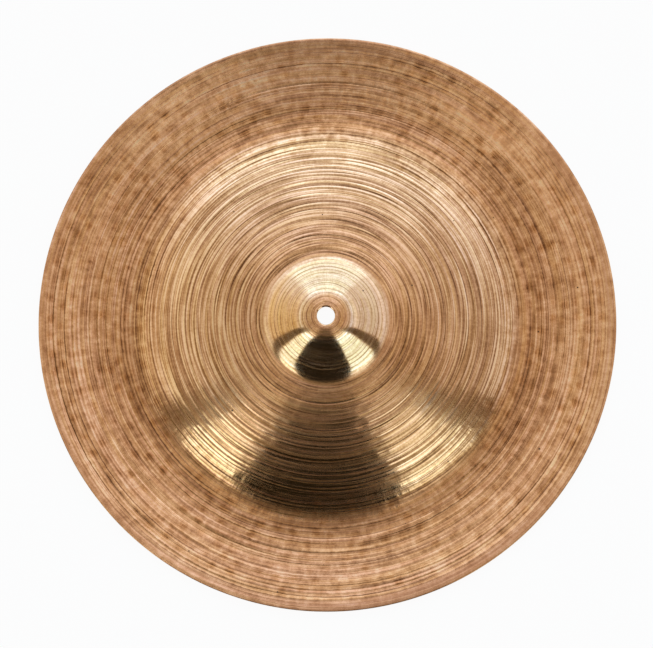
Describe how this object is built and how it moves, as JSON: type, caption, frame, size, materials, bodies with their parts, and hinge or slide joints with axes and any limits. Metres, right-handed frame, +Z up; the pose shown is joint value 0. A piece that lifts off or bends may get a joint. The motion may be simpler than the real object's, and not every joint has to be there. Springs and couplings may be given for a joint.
{
  "type": "china cymbal",
  "caption": "Round bronze china cymbal with a small mounting bell, a shallow domed bow and a wide rim that turns up past a fold; hammered and lathed.",
  "frame": {"origin": "on the cymbal's axis, in the plane of the fold that it lies on, bell upwards", "axes": "+Z up along the axis of symmetry, from the fold towards the bell; X and Y lie in the plane of the fold"},
  "size_m": [0.4064, 0.4064, 0.0318],
  "materials": {
    "bronze": "lathed and hammered cast bronze with fine concentric grooves, warm copper to gold"
  },
  "bodies": {
    "root": {"china_cymbal": "bronze"}
  },
  "joints": []
}
